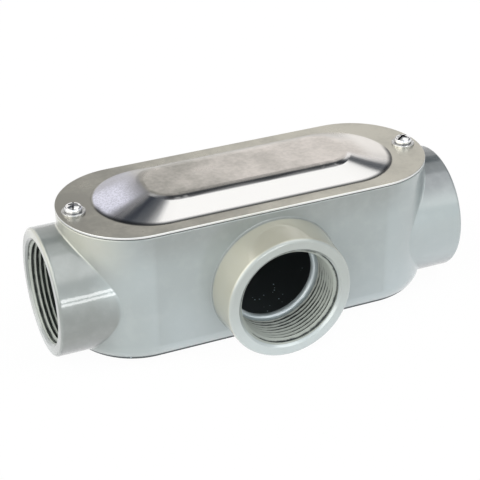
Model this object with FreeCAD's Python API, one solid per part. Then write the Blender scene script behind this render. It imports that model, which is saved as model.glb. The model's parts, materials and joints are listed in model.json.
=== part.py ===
"""Cast conduit body of the T form for 1 1/2 inch rigid conduit, with its stamped cover.

Millimetres, +Z up. The origin is on the flat back of the casting, under the point where
the axes of the three hubs cross. The run goes along X, the branch hub points along -Y,
and the cover closes the long oval opening on top (+Z).
"""
import FreeCAD, Part
import math
import os

# ---------------------------------------------------------------- casting
body_length = 179.0            # oval shell, end to end, without the hubs
side_beyond_hubs = 3.7         # the shell's straight sides stand this far outside the run hubs
rim_above_hubs = 5.9           # tops of the run hubs to the rim that carries the gasket
body_wall = 3.2                # cast wall of sides, ends and floor
back_edge_radius = 10.0        # rounding between the flat back and the walls
rim_edge_radius = 0.6          # broken outer edge of the rim

# ---------------------------------------------------------------- hubs
run_hub_stand = 10.5           # end of the shell to the face of a run hub
branch_hub_stand = 17.5        # side of the shell to the face of the branch hub
hub_wall = 5.7                 # metal between thread and outside at each hub face
hub_back_gap = 0.2             # the hubs' undersides clear the plane of the flat back
branch_draft = 1.1             # the branch hub is this much wider where it leaves the wall
hub_rim_radius = 1.5           # rounded outer edge of each hub face
hub_root_fillet = 0.7          # cast fillet where a hub meets the shell
hub_core_wall = 3.5            # metal round the thread inside the shell

# ---------------------------------------------------------------- conduit threads
bore_radius = 24.1             # root of the 11 1/2 turns an inch taper thread
mouth_bevel = 1.0              # lead-in bevel at the mouth of each bore
thread_length = 20.0           # hub face to the integral bushing
throat_step = 3.9              # the smooth throat that protects the wires is this much tighter
bushing_length = 3.6           # length of the throat along the hub axis
bushing_lip_radius = 1.6       # rounded edges of the throat

# ---------------------------------------------------------------- cover screws, No. 8-32
screw_end_margin = 7.3         # end of the shell to the centre of each cover screw
screw_radius = 2.08            # outside of the screw thread
screw_length = 9.5             # under the head to the tip
screw_tip_bevel = 0.6          # pointed lead of the screw
screw_head_radius = 4.0        # pan head
screw_head_height = 3.2        # washer to the top of the head
screw_head_skirt = 1.7         # height where the flat dome would meet the upright side
screw_shoulder_radius = 1.6    # rounding between dome and side
recess_width = 1.0             # width of each arm of the cross recess
recess_reach = 2.4             # centre to the end of each arm
recess_floor_reach = 1.1       # the same at the floor of the recess
recess_depth = 2.0             # depth of the cross recess below the top of the head
slot_width = 0.9               # driver slot across the whole head, in line with one pair of arms
slot_depth = 1.1               # depth of that slot below the top of the head
left_recess_turn = 72.0        # where the slot of the left screw came to rest, degrees from +X
right_recess_turn = 24.0       # the same for the right screw
thread_fit = 0.05              # radial gap between a screw and its tapped hole
tapped_spare = 1.9             # depth of a tapped hole past the tip of its screw
drill_point_half_angle = 59.0  # degrees
screw_boss_wall = 3.52         # cast metal round each screw
screw_clearance = 0.42         # radial play of a screw in the cover, gasket and washers

washer_radius = 5.4            # flat washer under each head
washer_thickness = 1.0
washer_edge_radius = 0.35      # rolled-over outer edge of a washer

# ---------------------------------------------------------------- gasket and cover
gasket_thickness = 0.5
gasket_inset = 0.5             # gasket stands back from the outside of the rim
gasket_overhang = 1.5          # gasket reaches this far inside the wall's inner face
gasket_pillar_cover = 2.5      # and this far past each screw pillar

cover_thickness = 1.0          # stamped aluminium sheet
cover_edge_radius = 0.3        # burr broken along the top edge of the sheet
flange_end_margin = 16.5       # flat flange between the cover's end and the raised panel
flange_side_margin = 6.5       # the same along the sides
panel_height = 6.0             # how far the panel stands above the flange
panel_end_ramp = 23.5          # plan length of the ramp at each end of the panel
panel_side_slope = 12.2        # plan width of the slope along each side
panel_top_corner = 12.0        # plan radius at the corners of the flat top
panel_end_half_angle = 32.0    # share of the foot's round end that each end ramp takes, degrees
panel_top_bend = 12.0          # soft bend round the flat top
panel_foot_bend = 2.0          # tight bend where the panel leaves the flange

# ---------------------------------------------------------------- sizes that follow
hub_radius = bore_radius + hub_wall
branch_root_radius = hub_radius + branch_draft
hub_axis_height = hub_radius + hub_back_gap
body_height = hub_axis_height + hub_radius + rim_above_hubs
body_width = 2 * (hub_radius + side_beyond_hubs)
run_length = body_length + 2 * run_hub_stand
branch_reach = body_width / 2 + branch_hub_stand
screw_spacing = body_length - 2 * screw_end_margin
panel_length = body_length - 2 * flange_end_margin
panel_width = body_width - 2 * flange_side_margin
panel_top_length = panel_length - 2 * panel_end_ramp
panel_top_width = panel_width - 2 * panel_side_slope
bushing_radius = bore_radius - throat_step
screw_boss_radius = screw_radius + screw_boss_wall
clearance_hole_radius = screw_radius + screw_clearance
rim_level = body_height
gasket_top = rim_level + gasket_thickness
cover_top = gasket_top + cover_thickness
head_seat = cover_top + washer_thickness
tapped_depth = screw_length - (head_seat - rim_level) + tapped_spare
throat_end = thread_length + bushing_length
UP = FreeCAD.Vector(0, 0, 1)
full_turn = 360.0              # degrees
tiny = 1e-3                    # two places this close are the same place


def point(x, y, z):
    return FreeCAD.Vector(x, y, z)


def arc(first, middle, last):
    """Circular edge through three points."""
    return Part.Arc(first, middle, last).toShape()


def cylinder(radius, length, start, direction):
    return Part.makeCylinder(radius, length, start, direction)


def largest(shape):
    """The one solid that a boolean operation leaves."""
    return max(shape.Solids, key=lambda solid: solid.Volume)


# ---------------------------------------------------------------- plan outlines
def oval(length, width, low, high):
    """Upright prism on an oval of two straight sides and two half circles."""
    radius = width / 2
    centre = length / 2 - radius
    edges = [
        Part.makeLine(point(-centre, -radius, low), point(centre, -radius, low)),
        arc(point(centre, -radius, low), point(centre + radius, 0, low), point(centre, radius, low)),
        Part.makeLine(point(centre, radius, low), point(-centre, radius, low)),
        arc(point(-centre, radius, low), point(-centre - radius, 0, low), point(-centre, -radius, low)),
    ]
    return Part.Face(Part.Wire(edges)).extrude(UP * (high - low))


def rounded_oval(length, width, low, high, edge_radius):
    """Oval prism whose lower edge is rounded."""
    prism = oval(length, width, low, high)
    lower = [edge for edge in prism.Edges if abs(edge.BoundBox.ZMax - low) < tiny]
    return prism.makeFillet(edge_radius, lower)


# ---------------------------------------------------------------- body casting
def hub_places():
    """Face centre and outward direction of the two run hubs and the branch hub."""
    half_run = run_length / 2
    return [
        (point(-half_run, 0, hub_axis_height), point(-1, 0, 0)),
        (point(half_run, 0, hub_axis_height), point(1, 0, 0)),
        (point(0, -branch_reach, hub_axis_height), point(0, -1, 0)),
    ]


def run_hubs():
    """Both straight hubs as one barrel; the chamber is cut out of its middle later."""
    return cylinder(hub_radius, run_length, point(-run_length / 2, 0, hub_axis_height), point(1, 0, 0))


def branch_hub():
    """Hub with draft towards the shell, its underside level with that of its face."""
    inward = point(0, 1, 0)
    root_lift = branch_root_radius - hub_radius
    face = point(0, -branch_reach, hub_axis_height)
    root = point(0, -body_width / 2, hub_axis_height + root_lift)
    small = Part.Wire(Part.makeCircle(hub_radius, face, inward))
    large = Part.Wire(Part.makeCircle(branch_root_radius, root, inward))
    drafted = Part.makeLoft([small, large], True, True)
    buried = cylinder(branch_root_radius, back_edge_radius + body_wall, root, inward)
    return drafted.fuse(buried)


def touches(shape, place):
    """Whether a place lies on a shell."""
    return shape.distToShape(Part.Vertex(place))[0] < tiny


def casting_outside():
    """Oval shell with its three hubs, filleted where they meet and rounded at every rim."""
    shell = rounded_oval(body_length, body_width, 0, body_height, back_edge_radius)
    hubs = [run_hubs(), branch_hub()]
    joined = shell.fuse(hubs).removeSplitter()
    roots = []
    for edge in joined.Edges:
        middle = edge.valueAt(edge.getParameterByLength(edge.Length / 2))
        if touches(shell.Shells[0], middle) and any(touches(hub.Shells[0], middle) for hub in hubs):
            roots.append(edge)
    joined = joined.makeFillet(hub_root_fillet, roots)
    hub_rims = [edge for edge in joined.Edges if lies_on_hub_face(edge)]
    joined = joined.makeFillet(hub_rim_radius, hub_rims)
    shell_rim = [edge for edge in joined.Edges if edge.BoundBox.ZMin > rim_level - tiny]
    return joined.makeFillet(rim_edge_radius, shell_rim)


def lies_on_hub_face(edge):
    """Whether an edge lies in the face plane of one of the three hubs."""
    box = edge.BoundBox
    on_run_face = box.XMin > run_length / 2 - tiny or box.XMax < tiny - run_length / 2
    on_branch_face = box.YMax < tiny - branch_reach
    return on_run_face or on_branch_face


def chamber():
    """Wiring chamber: the shell's hollow less the metal round each thread and screw."""
    inside_length = body_length - 2 * body_wall
    inside_width = body_width - 2 * body_wall
    floor_radius = back_edge_radius - body_wall
    hollow = rounded_oval(inside_length, inside_width, body_wall, rim_level, floor_radius)
    cores = [
        cylinder(bore_radius + hub_core_wall, throat_end, face, -outward)
        for face, outward in hub_places()
    ]
    pillar_base = hub_axis_height + bore_radius
    pillars = [
        cylinder(screw_boss_radius, rim_level - pillar_base, point(x, 0, pillar_base), UP)
        for x in screw_places()
    ]
    return hollow.cut(cores + pillars)


def bore_tool():
    """Threaded bore, mouth bevel and rounded throat as one turned profile, mouth at z = 0."""
    lip = bushing_lip_radius
    lip_middle = lip * (1 - math.sqrt(0.5))
    corner = bushing_radius + lip
    edges = [
        Part.makeLine(point(0, 0, 0), point(bore_radius + mouth_bevel, 0, 0)),
        Part.makeLine(point(bore_radius + mouth_bevel, 0, 0), point(bore_radius, 0, mouth_bevel)),
        Part.makeLine(point(bore_radius, 0, mouth_bevel), point(bore_radius, 0, thread_length)),
        Part.makeLine(point(bore_radius, 0, thread_length), point(corner, 0, thread_length)),
        arc(
            point(corner, 0, thread_length),
            point(bushing_radius + lip_middle, 0, thread_length + lip_middle),
            point(bushing_radius, 0, thread_length + lip),
        ),
        Part.makeLine(point(bushing_radius, 0, thread_length + lip), point(bushing_radius, 0, throat_end - lip)),
        arc(
            point(bushing_radius, 0, throat_end - lip),
            point(bushing_radius + lip_middle, 0, throat_end - lip_middle),
            point(corner, 0, throat_end),
        ),
        Part.makeLine(point(corner, 0, throat_end), point(0, 0, throat_end)),
        Part.makeLine(point(0, 0, throat_end), point(0, 0, 0)),
    ]
    profile = Part.Face(Part.Wire(edges))
    return profile.revolve(point(0, 0, 0), UP, full_turn)


def placed(shape, place, direction):
    """Copy of a shape whose z axis is turned along a direction and moved to a place."""
    copy = shape.copy()
    copy.Placement = FreeCAD.Placement(place, FreeCAD.Rotation(UP, direction))
    return copy


def tapped_hole(x):
    """Blind hole with a drill point."""
    radius = screw_radius + thread_fit
    bottom = rim_level - tapped_depth
    drilled = cylinder(radius, tapped_depth, point(x, 0, bottom), UP)
    point_height = radius / math.tan(math.radians(drill_point_half_angle))
    drill_point = Part.makeCone(radius, 0, point_height, point(x, 0, bottom), -UP)
    return drilled.fuse(drill_point)


def body_casting():
    bore = bore_tool()
    cuts = [chamber()]
    cuts += [placed(bore, face, -outward) for face, outward in hub_places()]
    cuts += [tapped_hole(x) for x in screw_places()]
    return largest(casting_outside().cut(cuts))


# ---------------------------------------------------------------- gasket
def screw_places():
    return [-screw_spacing / 2, screw_spacing / 2]


def clearance_holes(low, high):
    return [
        cylinder(clearance_hole_radius, high - low, point(x, 0, low), UP)
        for x in screw_places()
    ]


def gasket():
    """Flat ring that covers the rim and the tops of the screw pillars."""
    outside_length = body_length - 2 * gasket_inset
    outside_width = body_width - 2 * gasket_inset
    opening_length = screw_spacing - 2 * (screw_boss_radius + gasket_pillar_cover)
    opening_width = body_width - 2 * (body_wall + gasket_overhang)
    ring = oval(outside_length, outside_width, rim_level, gasket_top)
    opening = oval(opening_length, opening_width, rim_level, gasket_top)
    return largest(ring.cut([opening] + clearance_holes(rim_level, gasket_top)))


# ---------------------------------------------------------------- stamped cover
def panel_foot_outline(level):
    """Oval foot of the raised panel, each round end split into corner, ramp and corner."""
    radius = panel_width / 2
    centre = panel_length / 2 - radius
    split = math.radians(panel_end_half_angle)
    angles = [-math.pi / 2, -split, split, math.pi / 2]
    edges = []
    for side in (1, -1):
        def at(angle):
            return point(side * (centre + radius * math.cos(angle)), side * radius * math.sin(angle), level)
        edges.append(Part.makeLine(at(-math.pi / 2) - point(side * 2 * centre, 0, 0), at(-math.pi / 2)))
        for start, end in zip(angles, angles[1:]):
            edges.append(arc(at(start), at((start + end) / 2), at(end)))
    return Part.Wire(edges)


def panel_top_outline(level):
    """Flat top of the panel: a long rectangle with rounded corners."""
    half_length = panel_top_length / 2
    half_width = panel_top_width / 2
    corner = panel_top_corner
    bulge = corner * (1 - math.sqrt(0.5))
    edges = []
    for side in (1, -1):
        def at(x, y):
            return point(side * x, side * y, level)
        edges += [
            Part.makeLine(at(corner - half_length, -half_width), at(half_length - corner, -half_width)),
            arc(
                at(half_length - corner, -half_width),
                at(half_length - bulge, bulge - half_width),
                at(half_length, corner - half_width),
            ),
            Part.makeLine(at(half_length, corner - half_width), at(half_length, half_width - corner)),
            arc(
                at(half_length, half_width - corner),
                at(half_length - bulge, half_width - bulge),
                at(half_length - corner, half_width),
            ),
        ]
    return Part.Wire(edges)


def lies_on_flange(edge):
    box = edge.BoundBox
    return abs(box.ZMin - cover_top) < tiny and abs(box.ZMax - cover_top) < tiny


def half_reach(edge):
    """How far an edge reaches from the long axis of the cover."""
    return max(abs(edge.BoundBox.YMin), abs(edge.BoundBox.YMax))


def pressed_form():
    """Everything under the cover's upper surface: flange and raised panel with their bends."""
    panel_level = cover_top + panel_height
    base_level = gasket_top - cover_thickness
    flange = oval(body_length, body_width, base_level, cover_top)
    panel = Part.makeLoft([panel_foot_outline(cover_top), panel_top_outline(panel_level)], True, True)
    top_bends = [edge for edge in panel.Edges if edge.BoundBox.ZMin > panel_level - tiny]
    panel = panel.makeFillet(panel_top_bend, top_bends)
    form = flange.fuse(panel).removeSplitter()
    foot_bends = []
    for edge in form.Edges:
        if lies_on_flange(edge) and half_reach(edge) < panel_width / 2 + tiny:
            foot_bends.append(edge)
    return form.makeFillet(panel_foot_bend, foot_bends)


def stamped_cover():
    """One sheet: the form less the same form one sheet thickness lower."""
    form = pressed_form()
    lowered = form.copy()
    lowered.translate(UP * -cover_thickness)
    sheet = largest(form.cut(lowered).cut(clearance_holes(gasket_top, cover_top)))
    outer_edges = []
    for edge in sheet.Edges:
        if lies_on_flange(edge) and half_reach(edge) > body_width / 2 - tiny:
            outer_edges.append(edge)
    return sheet.makeFillet(cover_edge_radius, outer_edges)


# ---------------------------------------------------------------- cover screws and washers
def recess_arms(angle):
    """One pair of arms of the cross recess: a flat wedge, shorter at its bottom."""
    top = head_seat + screw_head_height
    bottom = top - recess_depth
    half = recess_width / 2
    outline = Part.makePolygon([
        point(-recess_reach, -half, top),
        point(recess_reach, -half, top),
        point(recess_floor_reach, -half, bottom),
        point(-recess_floor_reach, -half, bottom),
        point(-recess_reach, -half, top),
    ])
    arms = Part.Face(outline).extrude(point(0, recess_width, 0))
    arms.rotate(point(0, 0, 0), UP, angle)
    return arms


def driver_slot(angle):
    """Straight slot across the whole head and out of its sides."""
    reach = screw_head_radius + slot_width
    corner = point(-reach, -slot_width / 2, head_seat + screw_head_height - slot_depth)
    slot = Part.makeBox(2 * reach, slot_width, slot_depth, corner)
    slot.rotate(point(0, 0, 0), UP, angle)
    return slot


def cover_screw(x, recess_turn):
    """Pan head machine screw with slot and cross recess, its thread drawn as a plain shank."""
    crown = head_seat + screw_head_height
    skirt = head_seat + screw_head_skirt
    rise = crown - skirt
    dome_radius = (screw_head_radius ** 2 + rise ** 2) / (2 * rise)
    half_angle = math.asin(screw_head_radius / dome_radius) / 2
    dome_middle = point(
        dome_radius * math.sin(half_angle), 0, crown - dome_radius * (1 - math.cos(half_angle))
    )
    tip = head_seat - screw_length
    tip_radius = screw_radius - screw_tip_bevel
    edges = [
        arc(point(0, 0, crown), dome_middle, point(screw_head_radius, 0, skirt)),
        Part.makeLine(point(screw_head_radius, 0, skirt), point(screw_head_radius, 0, head_seat)),
        Part.makeLine(point(screw_head_radius, 0, head_seat), point(screw_radius, 0, head_seat)),
        Part.makeLine(point(screw_radius, 0, head_seat), point(screw_radius, 0, tip + screw_tip_bevel)),
        Part.makeLine(point(screw_radius, 0, tip + screw_tip_bevel), point(tip_radius, 0, tip)),
        Part.makeLine(point(tip_radius, 0, tip), point(0, 0, tip)),
        Part.makeLine(point(0, 0, tip), point(0, 0, crown)),
    ]
    screw = Part.Face(Part.Wire(edges)).revolve(point(0, 0, 0), UP, full_turn)
    shoulder = [edge for edge in screw.Edges if abs(edge.BoundBox.ZMin - skirt) < tiny and edge.Closed]
    screw = screw.makeFillet(screw_shoulder_radius, shoulder)
    recess = [recess_arms(recess_turn), recess_arms(recess_turn + full_turn / 4)]
    screw = largest(screw.cut(recess + [driver_slot(recess_turn)]))
    screw.translate(point(x, 0, 0))
    return screw


def washer(x):
    """Flat washer with a rolled outer edge."""
    disc = cylinder(washer_radius, washer_thickness, point(x, 0, cover_top), UP)
    upper = [edge for edge in disc.Edges if edge.BoundBox.ZMin > head_seat - tiny]
    disc = disc.makeFillet(washer_edge_radius, upper)
    return largest(disc.cut(cylinder(clearance_hole_radius, washer_thickness, point(x, 0, cover_top), UP)))


# ---------------------------------------------------------------- export
os.makedirs("parts", exist_ok=True)
left_screw_x, right_screw_x = screw_places()
nodes = {
    "body_casting": body_casting(),
    "gasket": gasket(),
    "cover": stamped_cover(),
    "washer_left": washer(left_screw_x),
    "washer_right": washer(right_screw_x),
    "screw_left": cover_screw(left_screw_x, left_recess_turn),
    "screw_right": cover_screw(right_screw_x, right_recess_turn),
}
for name, solid in nodes.items():
    solid.exportStep("parts/" + name + ".step")
    print(name, "volume", round(solid.Volume, 1), "valid", solid.isValid())
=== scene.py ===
"""Looks of the cast T conduit body: enamel, cut threads, rubber, bare sheet, plating and studio.

Metres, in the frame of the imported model: flat back on z = 0, run along X, branch towards -Y.
A pair of numbers is a band: a finish changes from its first value to its second.
"""
import bpy
import json
import math
from mathutils import Matrix, Vector


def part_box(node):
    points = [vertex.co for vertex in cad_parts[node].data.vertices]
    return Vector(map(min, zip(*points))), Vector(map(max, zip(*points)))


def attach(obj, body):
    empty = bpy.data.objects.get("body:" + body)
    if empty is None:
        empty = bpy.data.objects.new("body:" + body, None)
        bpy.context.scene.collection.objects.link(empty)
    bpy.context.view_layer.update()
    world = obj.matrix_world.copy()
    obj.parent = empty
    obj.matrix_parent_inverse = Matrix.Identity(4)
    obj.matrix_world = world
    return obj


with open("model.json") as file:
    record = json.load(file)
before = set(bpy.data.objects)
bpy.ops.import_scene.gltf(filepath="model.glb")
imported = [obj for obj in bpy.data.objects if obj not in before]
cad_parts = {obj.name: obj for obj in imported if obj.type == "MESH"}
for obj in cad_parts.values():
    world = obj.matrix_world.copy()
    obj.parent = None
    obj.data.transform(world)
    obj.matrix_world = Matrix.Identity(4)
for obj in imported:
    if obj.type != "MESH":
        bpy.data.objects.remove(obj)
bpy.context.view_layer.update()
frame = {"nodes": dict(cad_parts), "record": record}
nodes = frame["nodes"]
mounts = {mount["name"]: mount for mount in frame["record"]["mounts"]}


# ------------------------------------------------------------------ body casting
# The body is one aluminium sand casting with its three hubs. Outside it has a baked coat of
# semi-gloss light grey enamel with a faint orange peel, with painted light and shade laid over it.
# The chamber inside is painted near black as shade, with a few painted glints.
casting_low, casting_high = (Vector(corner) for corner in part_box("body_casting"))
rim_z = casting_high.z
hub_axis_z = mounts["branch_hub"]["pos_m"][2]
bore_radius = mounts["branch_hub"]["dims"]["r_mm"] / 1000
wall = 0.0032                     # cast wall
shell_half_width = 0.0335
shell_half_length = 0.0895
throat_depth = 0.0236             # hub face to the inner end of the smooth throat
throat_rounding = 0.0014          # paint ends over this much of the throat's rounded end
painted_bore = bore_radius + 0.0008     # paint reaches this far round the axis of a bore
bore_fade = 0.0002                # half the width of the paint's edge in a bore
wall_fade = 0.0004                # half the width of the paint's edge in the middle of a wall
rim_fade = (rim_z - 0.0008, rim_z - 0.0002)

hub_x = (0.070, 0.075)            # from the middle: a run hub starts
hub_foot_x = (0.070, 0.078)       # and its underside
left_face_x = (casting_low.x + 0.0004, casting_low.x + 0.0014)
outside_shell = (shell_half_width + 0.0002, shell_half_width + 0.0010)
outside_bore = (bore_radius + 0.0012, bore_radius + 0.0040)
inside_bore = (bore_radius - 0.0006, bore_radius - 0.0002)
branch_throat_y = (-0.010, -0.005)
branch_barrel_y = (-0.0352, -0.0338)
branch_face_y = (-0.0506, -0.0498)
root_front_y = (-0.0346, -0.0341)
root_back_y = (-0.0337, -0.0334)
front_wall_y = (-0.0352, -0.0342)

paint_cool = (0.322, 0.362, 0.360, 1)       # high on the walls
paint_table_lit = (0.412, 0.468, 0.486, 1)       # painted light from the white table, low on the walls
paint_warm_light = (0.480, 0.465, 0.370, 1)       # painted warm light on faces that look up and to the left
paint_shade_grey = (0.198, 0.214, 0.203, 1)      # painted shade
paint_deep_shade = (0.105, 0.120, 0.128, 1)       # painted shade on top of the right hub and under both hubs
paint_face = (0.375, 0.395, 0.360, 1)       # face of the branch
paint_table_bounce = (0.520, 0.580, 0.585, 1)       # painted light from the white table, close above it
paint_throat = (0.600, 0.680, 0.700, 1)     # thick coat on the rounded throats
paint_mottle = (0.520, 0.550, 0.540, 1)
paint_flake = 0.35                # share of aluminium flake in the enamel
paint_roughness = 0.33
coat_roughness = 0.05
coat_index = 1.65
# Painted shade and glints: the chamber is coloured near black with a few bright specks.
chamber_shade_black = (0.052, 0.064, 0.068, 1)
chamber_glint = (0.720, 0.900, 1.000, 1)
chamber_roughness = 0.8
glints_a_metre = 420.0

drift_height = 0.010              # the change of tone wanders up and down the wall
pale_z = (0.008, 0.060)
branch_lean = (0.30, 0.80)        # faces of the branch that look forward get no painted warm light
left_end_x, left_end_z = (-0.088, -0.062), (0.040, 0.062)
left_low_x, left_low_z = (-0.068, -0.042), (0.030, 0.050)
shaded_end_x, shaded_end_z = (-0.088, -0.070), (0.046, 0.058)
near_rim_x, near_rim_z = (0.055, 0.075), (0.048, 0.064)
table_z = (0.002, 0.012)
face_foot_z = (0.004, 0.036)
hub_shade_side, hub_shade_top = (-0.35, 0.45), (0.40, 0.85)     # by how far a face looks up
deep_shade_top, deep_shade_foot = (0.45, 0.80), (-0.90, -0.30)


def new_finish(name):
    """An empty node material and its tree."""
    material = bpy.data.materials.new(name)
    material.use_nodes = True
    material.node_tree.nodes.clear()
    return material, material.node_tree


def add(tree, kind, inputs=None, **settings):
    """One shader node. Each input is a plain value or another node's output."""
    made = tree.nodes.new(kind)
    for name, value in settings.items():
        setattr(made, name, value)
    for name, value in (inputs or {}).items():
        if isinstance(value, bpy.types.NodeSocket):
            tree.links.new(value, made.inputs[name])
        else:
            made.inputs[name].default_value = value
    return made


def maths(tree, operation, *terms):
    """Result of a Math node on values or outputs."""
    return add(tree, "ShaderNodeMath", dict(enumerate(terms)), operation=operation).outputs[0]


def product(tree, first, *others):
    """All the terms multiplied."""
    for other in others:
        first = maths(tree, "MULTIPLY", first, other)
    return first


def largest(tree, first, *others):
    """The largest of the terms."""
    for other in others:
        first = maths(tree, "MAXIMUM", first, other)
    return first


def rise(tree, value, start, end, low=0.0, high=1.0):
    """A value that eases from low to high while the input goes from start to end."""
    limits = {"Value": value, "From Min": start, "From Max": end, "To Min": low, "To Max": high}
    return add(tree, "ShaderNodeMapRange", limits, interpolation_type="SMOOTHSTEP").outputs[0]


def fall(tree, value, start, end, high=1.0, low=0.0):
    """A value that eases from high to low while the input goes from start to end."""
    return rise(tree, value, start, end, high, low)


def noise(tree, place, size, detail=2.0):
    """Cloudy pattern whose blots measure about the given size."""
    wanted = {"Vector": place, "Scale": 1 / size, "Detail": detail}
    return add(tree, "ShaderNodeTexNoise", wanted).outputs[0]


def spread(tree, pattern, low, high):
    """A noise pattern's middle range stretched over low to high."""
    return rise(tree, pattern, 0.3, 0.7, low, high)


def mixed(tree, share, first, second):
    """Colour that turns from the first into the second as the share goes from 0 to 1."""
    node = add(tree, "ShaderNodeMix", {0: share, 6: first, 7: second}, data_type="RGBA")
    return node.outputs[2]


def layered(tree, colour, layers):
    """A colour under layers, each a share and a colour over what is already there."""
    for share, over in layers:
        colour = mixed(tree, share, colour, over)
    return colour


def blended(tree, share, first, second):
    """Number that turns from the first into the second as the share goes from 0 to 1."""
    return add(tree, "ShaderNodeMix", {0: share, 2: first, 3: second}).outputs[0]


def relief(tree, height, depth, strength, below=None):
    """Bump of the given depth in metres."""
    inputs = {"Height": height, "Distance": depth, "Strength": strength}
    if below is not None:
        inputs["Normal"] = below
    return add(tree, "ShaderNodeBump", inputs).outputs[0]


def object_place(tree):
    """Object coordinates, whole and as x, y and z."""
    place = add(tree, "ShaderNodeTexCoord").outputs["Object"]
    parts = add(tree, "ShaderNodeSeparateXYZ", {0: place}).outputs
    return place, parts[0], parts[1], parts[2]


def object_normal(tree):
    """Direction of the surface as x, y and z."""
    normal = add(tree, "ShaderNodeTexCoord").outputs["Normal"]
    parts = add(tree, "ShaderNodeSeparateXYZ", {0: normal}).outputs
    return parts[0], parts[1], parts[2]


def distance_of(tree, first, second):
    """Length of a pair of coordinates."""
    pair = add(tree, "ShaderNodeCombineXYZ", {0: first, 1: second}).outputs[0]
    return add(tree, "ShaderNodeVectorMath", {0: pair}, operation="LENGTH").outputs["Value"]


def finish_surface(tree, **inputs):
    """Principled surface and output. Underscores in the input names stand for spaces."""
    named = {name.replace("_", " "): value for name, value in inputs.items()}
    surface = add(tree, "ShaderNodeBsdfPrincipled", named)
    add(tree, "ShaderNodeOutputMaterial", {"Surface": surface.outputs[0]})


def from_spine(tree, x, y):
    """Plan distance from the middle line of the oval shell; its outside lies at half its width."""
    straight_half = shell_half_length - shell_half_width
    past_straight = maths(tree, "SUBTRACT", maths(tree, "ABSOLUTE", x), straight_half)
    return distance_of(tree, largest(tree, past_straight, 0.0), y)


def chamber_share(tree, x, y, z):
    """1 on the chamber's walls and 0 on the outside of the casting and in its three bores."""
    mid_wall = shell_half_width - wall / 2
    mid_floor = wall / 2
    run_end = casting_high.x - throat_depth
    branch_end = casting_low.y + throat_depth
    lifted = maths(tree, "SUBTRACT", z, hub_axis_z)
    bore = (painted_bore - bore_fade, painted_bore + bore_fade)
    run_bore = product(
        tree, fall(tree, distance_of(tree, y, lifted), *bore),
        rise(tree, maths(tree, "ABSOLUTE", x), run_end, run_end + throat_rounding),
    )
    branch_bore = product(
        tree, fall(tree, distance_of(tree, x, lifted), *bore),
        fall(tree, y, branch_end - throat_rounding, branch_end),
    )
    within = product(
        tree, fall(tree, from_spine(tree, x, y), mid_wall - wall_fade, mid_wall + wall_fade),
        rise(tree, z, mid_floor - wall_fade, mid_floor + wall_fade), fall(tree, z, *rim_fade),
    )
    return largest(
        tree, maths(tree, "SUBTRACT", within, largest(tree, run_bore, branch_bore)), 0.0,
    )


def shaded_chamber(tree, place):
    """Near-black painted shade of the chamber with a few painted glints in clusters."""
    glint_cells = add(tree, "ShaderNodeTexVoronoi", {"Vector": place, "Scale": glints_a_metre})
    small = fall(tree, glint_cells.outputs["Distance"], 0.12, 0.17)
    rare = rise(tree, noise(tree, place, 0.011, 1.0), 0.56, 0.64)
    return mixed(tree, product(tree, small, rare), chamber_shade_black, chamber_glint)


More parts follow.
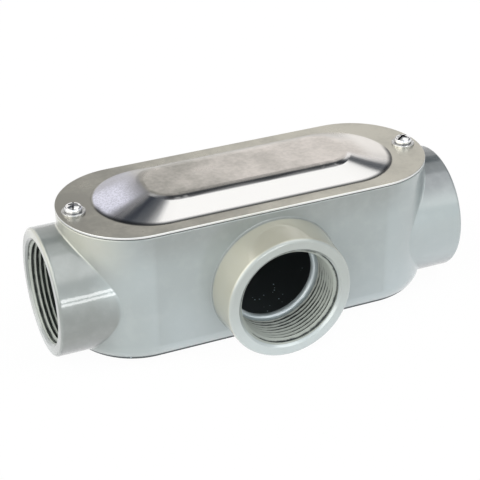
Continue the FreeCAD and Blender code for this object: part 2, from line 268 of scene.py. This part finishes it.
def enamel():
    """Grey enamel outside with painted light and shade; near-black painted shade in the chamber.
    """
    material, tree = new_finish("grey_enamel")
    place, x, y, z = object_place(tree)
    facing_up = object_normal(tree)[2]
    facing_front = product(tree, object_normal(tree)[1], -1.0)
    off_middle = maths(tree, "ABSOLUTE", x)
    lifted = maths(tree, "SUBTRACT", z, hub_axis_z)
    from_run_axis = distance_of(tree, y, lifted)
    from_branch_axis = distance_of(tree, x, lifted)

    inside = chamber_share(tree, x, y, z)
    off_shell = rise(tree, from_spine(tree, x, y), *outside_shell)
    round_branch = rise(tree, from_branch_axis, *outside_bore)
    on_left_hub = product(
        tree, off_shell, fall(tree, x, -hub_x[1], -hub_x[0]), rise(tree, x, *left_face_x),
    )
    on_right_hub = product(tree, off_shell, rise(tree, x, *hub_x))
    on_branch = product(
        tree, round_branch, fall(tree, y, *branch_barrel_y),
        fall(tree, facing_front, *branch_lean),
    )
    on_branch_face = fall(tree, y, *branch_face_y)
    # Painted shade in the crease where the branch meets the wall.
    at_root = product(
        tree, rise(tree, y, *root_front_y), fall(tree, y, *root_back_y), round_branch,
    )
    on_left_end = product(
        tree, fall(tree, x, *left_end_x, 0.75), rise(tree, z, *left_end_z),
        maths(tree, "SUBTRACT", 1.0, on_left_hub),
    )
    left_low = product(tree, fall(tree, x, *left_low_x, 0.90), fall(tree, z, *left_low_z))
    # Painted shade at the left end of the casting.
    shaded_end = product(tree, fall(tree, x, *shaded_end_x, 0.80), fall(tree, z, *shaded_end_z))
    # Painted shade high on the right of the front wall, just under the cover's edge.
    near_rim = product(
        tree, rise(tree, z, *near_rim_z, 0.0, 0.55), fall(tree, off_middle, *near_rim_x),
        rise(tree, y, *front_wall_y),
    )
    # Painted shade on the left hub, strongest on faces that look down and on its top.
    shaded_hub = largest(
        tree, fall(tree, facing_up, *hub_shade_side, 0.95, 0.10),
        rise(tree, facing_up, *hub_shade_top, 0.0, 0.70),
    )
    # Painted shade on top of the right hub and on the undersides of both hubs.
    deep_shade = largest(
        tree, product(tree, on_right_hub, rise(tree, facing_up, *deep_shade_top, 0.0, 0.90)),
        product(
            tree, off_shell, fall(tree, facing_up, *deep_shade_foot, 0.95),
            rise(tree, off_middle, *hub_foot_x),
        ),
    )
    in_throat = largest(
        tree, fall(tree, from_run_axis, *inside_bore),
        product(
            tree, fall(tree, from_branch_axis, *inside_bore), fall(tree, y, *branch_throat_y),
        ),
    )
    mottle = rise(tree, noise(tree, place, 0.006, 3.0), 0.40, 0.80, 0.0, 0.10)

    drift = spread(tree, noise(tree, place, 0.050, 1.0), -drift_height, drift_height)
    # Painted light: the walls turn lighter low down, towards the white table.
    low_down = fall(tree, maths(tree, "ADD", z, drift), *pale_z)
    colour = layered(tree, mixed(tree, low_down, paint_cool, paint_table_lit), (
        # painted warm light on the branch and the left end
        (product(tree, largest(tree, on_branch, on_left_end), 0.85), paint_warm_light),
        (left_low, paint_cool),
        # painted shade at the left end
        (shaded_end, paint_shade_grey),
        # painted light from the white table, just above it
        (fall(tree, z, *table_z, 0.35), paint_table_bounce),
        (product(tree, on_branch_face, 0.60), paint_face),
        # painted light from the white table on the foot of the branch face
        (product(tree, on_branch_face, fall(tree, z, *face_foot_z, 0.75)), paint_table_bounce),
        # painted shade in the crease round the branch's root
        (product(tree, at_root, 0.85), paint_shade_grey),
        # painted shade under the cover's edge
        (near_rim, paint_shade_grey),
        # painted shade on the left hub's underside and top
        (product(tree, on_left_hub, shaded_hub), paint_shade_grey),
        # painted shade on the right hub's top and the hubs' undersides
        (deep_shade, paint_deep_shade),
        (in_throat, paint_throat),
        (mottle, paint_mottle),
        # painted shade: the chamber's walls near black, with painted glints
        (inside, shaded_chamber(tree, place)),
    ))

    fine_peel = relief(tree, noise(tree, place, 0.0011), 0.00003, 0.35)
    peel = relief(tree, noise(tree, place, 0.0080), 0.00012, 0.30, fine_peel)
    gloss = spread(
        tree, noise(tree, place, 0.020, 3.0), paint_roughness - 0.05, paint_roughness + 0.05,
    )
    coat = maths(tree, "SUBTRACT", 1.0, largest(tree, inside, at_root))
    finish_surface(
        tree, Base_Color=colour, Metallic=product(tree, coat, paint_flake),
        Roughness=blended(tree, inside, gloss, chamber_roughness), Normal=peel,
        Coat_Weight=coat, Coat_Roughness=coat_roughness, Coat_IOR=coat_index,
        Coat_Normal=peel,
    )
    return material


nodes["body_casting"].data.materials[0] = enamel()


# ------------------------------------------------------------------ conduit threads
# Each hub is tapped after painting with a taper pipe thread of 11 1/2 turns an inch. The
# ridges start behind the mouth's bevel and run out in front of the smooth throat.
pitch = 0.0254 / 11.5
ridge_height = pitch * math.sqrt(3) / 2     # a 60 degree triangle as high as it would be sharp
thread_start = -0.0012            # where the helix would start; the mouth's bevel cuts it back
thread_turns = 9.5
steps_a_turn = 96
run_out_turns = 0.15              # the ridge fades out over this much of a turn
mouth_bevel = 0.0010
ridge_sink = 0.00010              # foot of the ridge below the wall of the bore
crest_bevel = 0.00016
smooth_angle = math.radians(35)
bevel_depth = 0.30                # the bevel's cut is nearly as bright as a crest
mouth_fade_length = 0.0060              # the painted groove shade is weaker this near the mouth
mouth_fade_share = 0.4
shade_start = 0.0090               # deeper than this the ridges darken further with painted shade
shade_a_metre = 22
ridge_colour = (0.330, 0.358, 0.325, 1)
# Painted shade: the roots of the grooves are coloured near black.
root_shade = (0.020, 0.026, 0.025, 1)
ridge_to_root = (0.33, 0.67)      # depth in the groove at which the painted shade begins


def leave_edit_mode():
    bpy.ops.object.mode_set(mode="OBJECT")


def select_only(piece):
    bpy.ops.object.select_all(action="DESELECT")
    piece.select_set(True)
    bpy.context.view_layer.objects.active = piece


def enter_edit_mode(piece):
    """Edit a piece with all of it selected and nothing else."""
    select_only(piece)
    bpy.ops.object.mode_set(mode="EDIT")
    bpy.ops.mesh.select_all(action="SELECT")


def apply_place(piece):
    """Put a piece's place and turn into its mesh."""
    select_only(piece)
    bpy.ops.object.transform_apply(location=True, rotation=True, scale=True)


def cut_metal():
    """Freshly cut ridges with painted shade in their roots and deep in the bore."""
    material, tree = new_finish("cut_thread")
    place = add(tree, "ShaderNodeTexCoord").outputs["Object"]
    groove = add(tree, "ShaderNodeAttribute", attribute_name="groove").outputs["Fac"]
    stains = spread(tree, noise(tree, place, 0.004, 3.0), -0.10, 0.10)
    depth = rise(tree, maths(tree, "ADD", groove, stains), *ridge_to_root)
    colour = mixed(tree, depth, ridge_colour, root_shade)
    drag = relief(tree, noise(tree, place, 0.0006), 0.00002, 0.5)
    finish_surface(tree, Base_Color=colour, Roughness=0.42, Metallic=0.15, Normal=drag)
    return material


def tapped_thread(name, face, turn):
    """Helical ridge on the wall of a bore; the profile starts as a 60 degree triangle."""
    bpy.ops.object.select_all(action="DESELECT")
    centre_radius = bore_radius + ridge_sink - ridge_height / 3
    bpy.ops.mesh.primitive_circle_add(
        vertices=3, radius=ridge_height * 2 / 3, fill_type="NOTHING",
        location=(thread_start + pitch / 2, centre_radius, 0), rotation=(0, 0, math.pi),
    )
    thread = bpy.context.object
    thread.name = name
    apply_place(thread)
    enter_edit_mode(thread)
    bpy.ops.mesh.bevel(offset=crest_bevel, segments=2, affect="VERTICES")
    leave_edit_mode()
    profile_points = len(thread.data.vertices)
    screw = thread.modifiers.new("helix", "SCREW")
    screw.axis = "X"
    screw.angle = thread_turns * 2 * math.pi
    screw.screw_offset = thread_turns * pitch
    screw.steps = screw.render_steps = round(thread_turns * steps_a_turn)
    screw.use_merge_vertices = False
    screw.use_smooth_shade = False
    bpy.ops.object.modifier_apply(modifier=screw.name)
    fade_run_outs(thread.data, profile_points)
    enter_edit_mode(thread)
    bpy.ops.mesh.select_all(action="DESELECT")
    bpy.ops.mesh.select_non_manifold()
    bpy.ops.mesh.fill_holes(sides=0)
    bpy.ops.mesh.select_all(action="SELECT")
    bpy.ops.mesh.normals_make_consistent(inside=False)
    leave_edit_mode()
    bpy.ops.object.shade_smooth_by_angle(angle=smooth_angle)
    thread.rotation_euler = (0, 0, turn)
    thread.location = face
    apply_place(thread)
    return thread


def fade_run_outs(mesh, profile_points):
    """Cut the ridge back to the mouth's bevel, sink its inner end and note how deep it lies."""
    steps = len(mesh.vertices) // profile_points - 1
    fade_steps = run_out_turns * steps_a_turn
    foot_radius = bore_radius + ridge_sink
    crest_height = ridge_height - ridge_sink - crest_bevel
    groove = mesh.attributes.new("groove", "FLOAT", "POINT")
    for vertex in mesh.vertices:
        step = vertex.index // profile_points
        share = min(steps - step, fade_steps) / fade_steps
        share = share * share * (3 - 2 * share)
        along = max(vertex.co.x, 0)
        radius = math.hypot(vertex.co.y, vertex.co.z)
        wanted = foot_radius + (radius - foot_radius) * share
        bevelled = foot_radius + mouth_bevel - along
        # The groove value carries the painted shade: dark in the root and deeper in the bore.
        depth = bevel_depth if bevelled > wanted else 1 - (bore_radius - wanted) / crest_height
        # Near the mouth the painted groove shade is weaker.
        mouth_fade = min(1, 1 - mouth_fade_share + mouth_fade_share * along / mouth_fade_length)
        groove.data[vertex.index].value = depth * mouth_fade + shade_a_metre * max(along - shade_start, 0)
        wanted = max(wanted, bevelled)
        vertex.co.x = max(vertex.co.x, ridge_sink)
        vertex.co.y *= wanted / radius
        vertex.co.z *= wanted / radius


thread_finish = cut_metal()
for thread_name, reach, turn in (
    ("run_thread_left", casting_high.x, 0.0),
    ("run_thread_right", casting_high.x, math.pi),
    ("branch_thread", -casting_low.y, math.pi / 2),
):
    inward = Matrix.Rotation(turn, 3, "Z") @ Vector((1, 0, 0))
    face = Vector((0, 0, hub_axis_z)) - inward * reach
    ridge = tapped_thread(thread_name, face, turn)
    ridge.data.materials.append(thread_finish)
    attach(ridge, "root")


# ------------------------------------------------------------------ gasket
# A flat ring cut from black neoprene sheet lies between the rim and the cover. Only its
# edge shows, as a fine dark seam under the sheet.
rubber_black = (0.010, 0.011, 0.012, 1)
rubber_worn = (0.030, 0.031, 0.031, 1)


def neoprene():
    """Matt black rubber with grey dust."""
    material, tree = new_finish("neoprene")
    place = add(tree, "ShaderNodeTexCoord").outputs["Object"]
    dust = rise(tree, noise(tree, place, 0.003, 4.0), 0.45, 0.75)
    colour = mixed(tree, dust, rubber_black, rubber_worn)
    grain = relief(tree, noise(tree, place, 0.0004), 0.00003, 0.6)
    finish_surface(tree, Base_Color=colour, Roughness=0.72, Normal=grain)
    return material


nodes["gasket"].data.materials[0] = neoprene()


# ------------------------------------------------------------------ cover
# The cover is pressed from rolled aluminium sheet and left bare. The die polished the front
# slope of its raised panel and left a matt grain on the left ramp; the cut edge is bright.
# Dark lines of painted shade and reflection run in the crease at the panel's foot and along its
# front fold.
sheet = 0.0010
flange_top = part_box("cover")[0][2] + sheet
flat_half_length = 0.0495         # flat top of the raised panel
flat_half_width = 0.0148
flat_corner = 0.0120

panel_start_z = (flange_top + 0.0001, flange_top + 0.0004)
raised_z = (flange_top + 0.0004, flange_top + 0.0016)
crease_low_z = (flange_top, flange_top + 0.0001)
crease_high_z = (flange_top + 0.0002, flange_top + 0.0008)
crease_y = (-0.004, 0.004)        # the painted dark line in the crease is in front only
brighter_x = (-0.100, 0.060)      # the rolled sheet brightens from left to right
front_y = (-0.002, 0.002)
slope_start = (-0.0010, 0.0006)   # outwards from the border of the flat top
ramp_start = (-0.001, 0.012)
back_start = (-0.0015, 0.0025)
fold_inner, fold_outer = (-0.0012, -0.0002), (0.0016, 0.0024)
fold_lean = (0.80, 0.95)          # 1 on the front slope and 0 on the ramps
polished_lean = (0.25, 0.55)
matt_lean = (0.08, 0.34)
# Towards the back the matt grain gives way to the painted shade of the left ramp.
matt_x, matt_y = (-0.050, -0.036), (0.007, 0.017)
back_y = (0.004, 0.015)
shaded_x = (-0.052, -0.046)
right_x = (0.053, 0.064)
cut_tilt = (0.55, 0.80)           # the cut edge stands upright

flange_dark = (0.365, 0.358, 0.322, 1)
flange_light = (0.575, 0.560, 0.490, 1)
flat_light = (0.785, 0.740, 0.695, 1)
sheet_scratch = (0.950, 0.940, 0.920, 1)
slope_polished = (0.865, 0.855, 0.845, 1)
slope_dull = (0.490, 0.475, 0.445, 1)
slope_right = (0.900, 0.875, 0.840, 1)
ramp_matt = (0.780, 0.780, 0.890, 1)
ramp_grain = (0.580, 0.580, 0.670, 1)
ramp_shaded = (0.430, 0.430, 0.465, 1)
edge_cut = (0.760, 0.770, 0.760, 1)
painted_fold_dark = (0.035, 0.038, 0.045, 1)
polished_roughness = 0.14
matt_roughness = 0.42
cut_roughness = 0.38
scratch_stretch = (0.09, 1, 1)    # a scratch is some eleven times as long as it is wide


def scratches(tree, place, turn, spacing, width):
    """Sparse straight scratches in one direction."""
    turned = add(tree, "ShaderNodeMapping", {"Vector": place, "Rotation": (0, 0, turn)})
    stretched = add(
        tree, "ShaderNodeMapping", {"Vector": turned.outputs[0], "Scale": scratch_stretch},
    )
    cells = add(
        tree, "ShaderNodeTexVoronoi", {"Vector": stretched.outputs[0], "Scale": 1 / spacing},
    )
    line = fall(tree, cells.outputs["Distance"], width * 0.5, width)
    patchy = rise(tree, noise(tree, place, 0.014, 1.0), 0.50, 0.62)
    return product(tree, line, patchy)


def past(tree, coordinate, half_size):
    """How far a coordinate lies beyond the straight part of the panel's flat top."""
    beyond = maths(tree, "SUBTRACT", maths(tree, "ABSOLUTE", coordinate), half_size - flat_corner)
    return largest(tree, beyond, 0.0)


def bare_sheet():
    """Rolled sheet with clouds and scratches, and the slopes and ramps of its raised panel."""
    material, tree = new_finish("bare_sheet")
    place, x, y, z = object_place(tree)
    cloud = noise(tree, place, 0.016, 4.0)
    speck = noise(tree, place, 0.0018, 3.0)

    past_y = past(tree, y, flat_half_width)
    from_core = distance_of(tree, past(tree, x, flat_half_length), past_y)
    off_flat = maths(tree, "SUBTRACT", from_core, flat_corner)
    frontward = product(
        tree, maths(tree, "DIVIDE", past_y, largest(tree, from_core, 0.001)),
        fall(tree, y, *front_y),
    )
    on_panel = rise(tree, z, *panel_start_z)
    sloping = product(tree, rise(tree, off_flat, *slope_start), on_panel)
    polished = product(tree, sloping, rise(tree, frontward, *polished_lean))
    matt = product(
        tree, rise(tree, off_flat, *ramp_start), on_panel, fall(tree, x, *matt_x),
        fall(tree, frontward, *matt_lean), fall(tree, y, *matt_y, 1.0, 0.35),
    )
    backward = product(tree, rise(tree, off_flat, *back_start), on_panel, rise(tree, y, *back_y))
    leftward = product(tree, sloping, fall(tree, x, *shaded_x, 0.85))
    rightward = product(tree, sloping, rise(tree, x, *right_x))
    cut = fall(tree, maths(tree, "ABSOLUTE", object_normal(tree)[2]), *cut_tilt)
    # Painted shade in the crease at the panel's foot, and a painted dark reflection along the
    # front fold.
    crease = product(
        tree, fall(tree, z, *crease_high_z), rise(tree, z, *crease_low_z),
        fall(tree, y, *crease_y),
    )
    fold = product(
        tree, rise(tree, off_flat, *fold_inner), fall(tree, off_flat, *fold_outer),
        rise(tree, frontward, *fold_lean),
    )
    painted_dark_line = largest(tree, product(tree, crease, 0.85), product(tree, fold, 0.70))
    marks = largest(
        tree, scratches(tree, place, math.radians(24), 0.0060, 0.020),
        scratches(tree, place, math.radians(-38), 0.0085, 0.016),
    )

    brightness = rise(tree, x, *brighter_x)
    brightness = maths(tree, "ADD", brightness, spread(tree, cloud, -0.20, 0.20))
    brightness = maths(tree, "ADD", brightness, spread(tree, speck, -0.10, 0.10))
    brightest = mixed(tree, rise(tree, z, *raised_z), flange_light, flat_light)
    grain_share = rise(tree, noise(tree, place, 0.0008, 3.0), 0.34, 0.66)
    colour = layered(tree, mixed(tree, brightness, flange_dark, brightest), (
        (product(tree, marks, 0.50), sheet_scratch),
        (product(tree, backward, 0.75), slope_dull),
        (leftward, ramp_shaded),
        (rightward, slope_right),
        (polished, slope_polished),
        (matt, mixed(tree, grain_share, ramp_grain, ramp_matt)),
        (cut, edge_cut),
        (painted_dark_line, painted_fold_dark),
    ))

    roughness = blended(tree, polished, spread(tree, cloud, 0.34, 0.27), polished_roughness)
    roughness = blended(tree, matt, roughness, matt_roughness)
    roughness = blended(tree, cut, roughness, cut_roughness)
    metal = maths(tree, "SUBTRACT", 1.0, product(tree, matt, 0.5))
    grain = relief(tree, speck, 0.00003, 0.30)
    pits = relief(tree, noise(tree, place, 0.0005), 0.00002, 0.5, grain)
    finish_surface(tree, Base_Color=colour, Metallic=metal, Roughness=roughness, Normal=pits)
    return material


nodes["cover"].data.materials[0] = bare_sheet()


# ------------------------------------------------------------------ cover screws and washers
# Two bright zinc-plated machine screws with slot and cross recess hold the cover, each on a
# duller flat washer. The recesses and the foot of each head are painted dark as shade.
screw_low, screw_high = (Vector(corner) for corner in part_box("screw_left"))
screw_off_middle = abs(screw_low.x + screw_high.x) / 2
washer_top_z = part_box("washer_left")[1][2]
slot_floor_z = screw_high.z - 0.0011
slot_end_radius = 0.0037          # the slot runs out of the head past this
steep_tilt = (0.30, 0.50)         # the walls of a recess
head_foot_z = (washer_top_z + 0.0003, washer_top_z + 0.0007)
zinc = (0.930, 0.935, 0.940, 1)
zinc_dull = (0.700, 0.705, 0.700, 1)
zinc_worn = (0.500, 0.500, 0.490, 1)
# painted shade in the recesses and at the foot of each head
recess_shade = (0.090, 0.090, 0.095, 1)


def plating():
    """Bright zinc with painted shade in the recess and under the head."""
    material, tree = new_finish("zinc_plating")
    place, x, y, z = object_place(tree)
    patch = rise(tree, noise(tree, place, 0.0011, 3.0), 0.45, 0.75)
    from_screw = maths(tree, "SUBTRACT", maths(tree, "ABSOLUTE", x), screw_off_middle)
    from_axis = distance_of(tree, from_screw, y)
    steep = fall(tree, object_normal(tree)[2], *steep_tilt)
    on_floor = fall(tree, z, slot_floor_z, slot_floor_z + 0.0002)
    in_recess = product(
        tree, fall(tree, from_axis, slot_end_radius - 0.0002, slot_end_radius),
        largest(tree, steep, on_floor),
    )
    # Painted shade in the recess and under the head.
    in_shade = largest(tree, in_recess, fall(tree, z, *head_foot_z, 0.85))
    colour = mixed(tree, in_shade, mixed(tree, patch, zinc, zinc_dull), recess_shade)
    roughness = rise(tree, patch, 0.0, 1.0, 0.12, 0.26)
    dents = relief(tree, noise(tree, place, 0.0009), 0.00003, 0.5)
    finish_surface(tree, Base_Color=colour, Metallic=1.0, Roughness=roughness, Normal=dents)
    return material


def dull_plating():
    """Tumbled zinc, rougher than that of the screws."""
    material, tree = new_finish("washer_plating")
    place = add(tree, "ShaderNodeTexCoord").outputs["Object"]
    patch = rise(tree, noise(tree, place, 0.0016, 3.0), 0.35, 0.65)
    colour = mixed(tree, patch, zinc_dull, zinc_worn)
    dents = relief(tree, noise(tree, place, 0.0007), 0.00004, 0.5)
    roughness = rise(tree, patch, 0.0, 1.0, 0.22, 0.34)
    finish_surface(tree, Base_Color=colour, Metallic=1.0, Roughness=roughness, Normal=dents)
    return material


screw_finish = plating()
washer_finish = dull_plating()
for side in ("left", "right"):
    nodes["screw_" + side].data.materials[0] = screw_finish
    nodes["washer_" + side].data.materials[0] = washer_finish


# ------------------------------------------------------------------ studio
# A plain white table stands in a pale room with a soft box overhead, a key light on the left
# and a dark gap behind. Two narrow strip lights far in front are level with the table.
table_size = 12.0
table_colour = (0.90, 0.90, 0.90, 1)
table_white_share = 0.97          # part of the table's brightness that no shadow takes away
white = (1, 1, 1, 1)

front_light, front_right = (1.00, 1.04, 1.07, 1), (0.66, 0.68, 0.70, 1)
top_left, top_light = (0.80, 0.80, 0.79, 1), (1.08, 1.08, 1.07, 1)
top_right = (0.50, 0.50, 0.50, 1)
back_wall, back_lit = (0.46, 0.46, 0.45, 1), (0.96, 0.94, 0.93, 1)
gap_dark, gap_darkest = (0.095, 0.103, 0.116, 1), (0.030, 0.036, 0.050, 1)
soft_box = (2.20, 2.20, 2.20, 1)
key_light = (2.60, 2.56, 2.48, 1)

# Bands of the room: x of a direction, and its turn in degrees, as room() measures them.
room_right_x = (0.60, 0.80)       # the room darkens on the far right
top_x = (-0.05, 0.12)
overhead_turn = (0.0, 4.0)
glow_slope, glow_offset = -0.0083, -0.498     # x of the glow's edge at the back, by turn
glow_fade = (-0.05, 0.04)
back_lit_x = (0.14, 0.33)
gap_start_x, gap_start_turn = (0.50, 0.62), (-45.0, -56.0)
gap_start_fade = (-4.0, 5.0)
gap_end_x, gap_end_turn = (0.04, 0.20), (-12.0, -26.0)
gap_step_x, gap_step_turn = (0.52, 0.62), (0.0, -9.0)
gap_soft_x, gap_soft_turn = (0.06, 0.28), (15.0, 4.0)
gap_deep_x, gap_deep_turn = (0.02, 0.10), (-35.0, -28.0)
box_left_x, box_right_x = (0.00, 0.25), (0.62, 0.74)
box_start_turn = (-3.0, 3.0)
box_end_x, box_end_turn = (0.30, 0.45), (47.0, 60.0)
box_end_fade = (-4.0, 10.0)
key_x, key_turn = (-0.62, -0.42), (-60.0, -45.0)

strip_distance = 1.6
strip_x = 0.23
strip_length, strip_height = 0.55, 0.155
strip_energy = 1.5
strip_angles = {"strip_low": math.radians(1.0), "strip_high": math.radians(9.1)}


def table_paper():
    """White paper that is seen white and still takes the shadow of the part."""
    material, tree = new_finish("table_paper")
    paths = add(tree, "ShaderNodeLightPath").outputs
    seen = largest(
        tree, paths["Is Camera Ray"], paths["Is Glossy Ray"], paths["Is Transmission Ray"],
    )
    paper = add(tree, "ShaderNodeBsdfDiffuse", {"Color": table_colour}).outputs[0]
    glow = add(tree, "ShaderNodeEmission", {"Color": white, "Strength": 1.0}).outputs[0]
    share = product(tree, seen, table_white_share)
    both = add(tree, "ShaderNodeMixShader", {0: share, 1: paper, 2: glow})
    add(tree, "ShaderNodeOutputMaterial", {"Surface": both.outputs[0]})
    return material


bpy.ops.object.select_all(action="DESELECT")
bpy.ops.mesh.primitive_plane_add(size=table_size)
table = bpy.context.object
table.name = "table"
table.data.materials.append(table_paper())


def room():
    """World light by two measures of its direction: x, and the turn about the X axis from
    straight up (0 degrees) over the front horizon (90) or the back horizon (-90)."""
    world = bpy.data.worlds.new("room")
    world.use_nodes = True
    tree = world.node_tree
    tree.nodes.clear()
    direction = add(tree, "ShaderNodeTexCoord").outputs["Generated"]
    x, y, z = add(tree, "ShaderNodeSeparateXYZ", {0: direction}).outputs
    turn = product(
        tree, maths(tree, "ARCTAN2", product(tree, y, -1.0), z), 180 / math.pi,
    )

    front = mixed(tree, rise(tree, x, *room_right_x), front_light, front_right)
    top = mixed(tree, rise(tree, x, *top_x), top_left, top_light)
    top = mixed(tree, rise(tree, x, *room_right_x), top, top_right)
    before_gap = mixed(tree, fall(tree, turn, *overhead_turn), front, top)

    glow_edge = maths(tree, "MULTIPLY_ADD", turn, glow_slope, glow_offset)
    low_glow = fall(tree, maths(tree, "SUBTRACT", x, glow_edge), *glow_fade)
    lit_share = largest(tree, rise(tree, x, *back_lit_x), low_glow)
    behind_gap = mixed(tree, lit_share, back_wall, back_lit)

    gap_start = rise(tree, x, *gap_start_x, *gap_start_turn)
    gap_end = maths(
        tree, "ADD", rise(tree, x, *gap_end_x, *gap_end_turn),
        rise(tree, x, *gap_step_x, *gap_step_turn),
    )
    gap_softness = rise(tree, x, *gap_soft_x, *gap_soft_turn)
    past_start = rise(tree, maths(tree, "SUBTRACT", turn, gap_start), *gap_start_fade)
    past_end = maths(tree, "DIVIDE", maths(tree, "SUBTRACT", turn, gap_end), gap_softness)
    in_gap = product(tree, fall(tree, past_end, -1.0, 1.0), past_start)
    deepest = product(tree, fall(tree, x, *gap_deep_x), fall(tree, turn, *gap_deep_turn))

    box_end = rise(tree, x, *box_end_x, *box_end_turn)
    in_box = product(
        tree, fall(tree, maths(tree, "SUBTRACT", turn, box_end), *box_end_fade),
        rise(tree, turn, *box_start_turn), rise(tree, x, *box_left_x),
        fall(tree, x, *box_right_x),
    )
    in_key = product(tree, fall(tree, x, *key_x), rise(tree, turn, *key_turn))
    colour = layered(tree, mixed(tree, past_start, behind_gap, before_gap), (
        (in_gap, mixed(tree, deepest, gap_dark, gap_darkest)),
        (in_box, soft_box),
        (in_key, key_light),
    ))
    background = add(tree, "ShaderNodeBackground", {"Color": colour, "Strength": 1.0})
    add(tree, "ShaderNodeOutputWorld", {"Surface": background.outputs[0]})
    bpy.context.scene.world = world


def strip_light(name, elevation):
    """A narrow lamp in front of the left hub, seen only in its gloss."""
    lamp = bpy.data.lights.new(name, "AREA")
    lamp.shape = "RECTANGLE"
    lamp.size = strip_length
    lamp.size_y = strip_height
    lamp.energy = strip_energy
    strip = bpy.data.objects.new(name, lamp)
    bpy.context.collection.objects.link(strip)
    strip_z = hub_axis_z + strip_distance * math.tan(elevation)
    strip.location = (strip_x, -strip_distance, strip_z)
    strip.rotation_euler = Vector((0, 1, 0)).to_track_quat("-Z", "Y").to_euler()
    strip.visible_camera = False
    strip.visible_diffuse = False


room()
for strip_name, strip_angle in strip_angles.items():
    strip_light(strip_name, strip_angle)


# ------------------------------------------------------------------ camera
# A long lens stands 0.7 m from the part, front left and above, and leans by less than one
# degree. No shift and no depth of field.
azimuth = math.radians(-22.9314)
elevation = math.radians(30.1372)
roll = math.radians(-0.6653)
camera_distance = 0.69207
aim = Vector((0, 0, 0.035))
slide_right = -0.0025438
slide_up = -0.0013775
sensor_width_mm = 36.0
lens_mm = 110.43

back = Vector((
    math.sin(azimuth) * math.cos(elevation),
    -math.cos(azimuth) * math.cos(elevation),
    math.sin(elevation),
))
level_right = (-back).cross(Vector((0, 0, 1))).normalized()
level_up = level_right.cross(-back)
right = math.cos(roll) * level_right + math.sin(roll) * level_up
up = -math.sin(roll) * level_right + math.cos(roll) * level_up
camera_data = bpy.data.cameras.new("camera")
camera_data.sensor_width = sensor_width_mm
camera_data.lens = lens_mm
camera = bpy.data.objects.new("camera", camera_data)
bpy.context.collection.objects.link(camera)
camera_place = aim + back * camera_distance + right * slide_right + up * slide_up
camera_axes = Matrix((right, up, back)).transposed().to_4x4()
camera.matrix_world = Matrix.Translation(camera_place) @ camera_axes
bpy.context.scene.camera = camera
bpy.context.scene.view_settings.view_transform = "Standard"
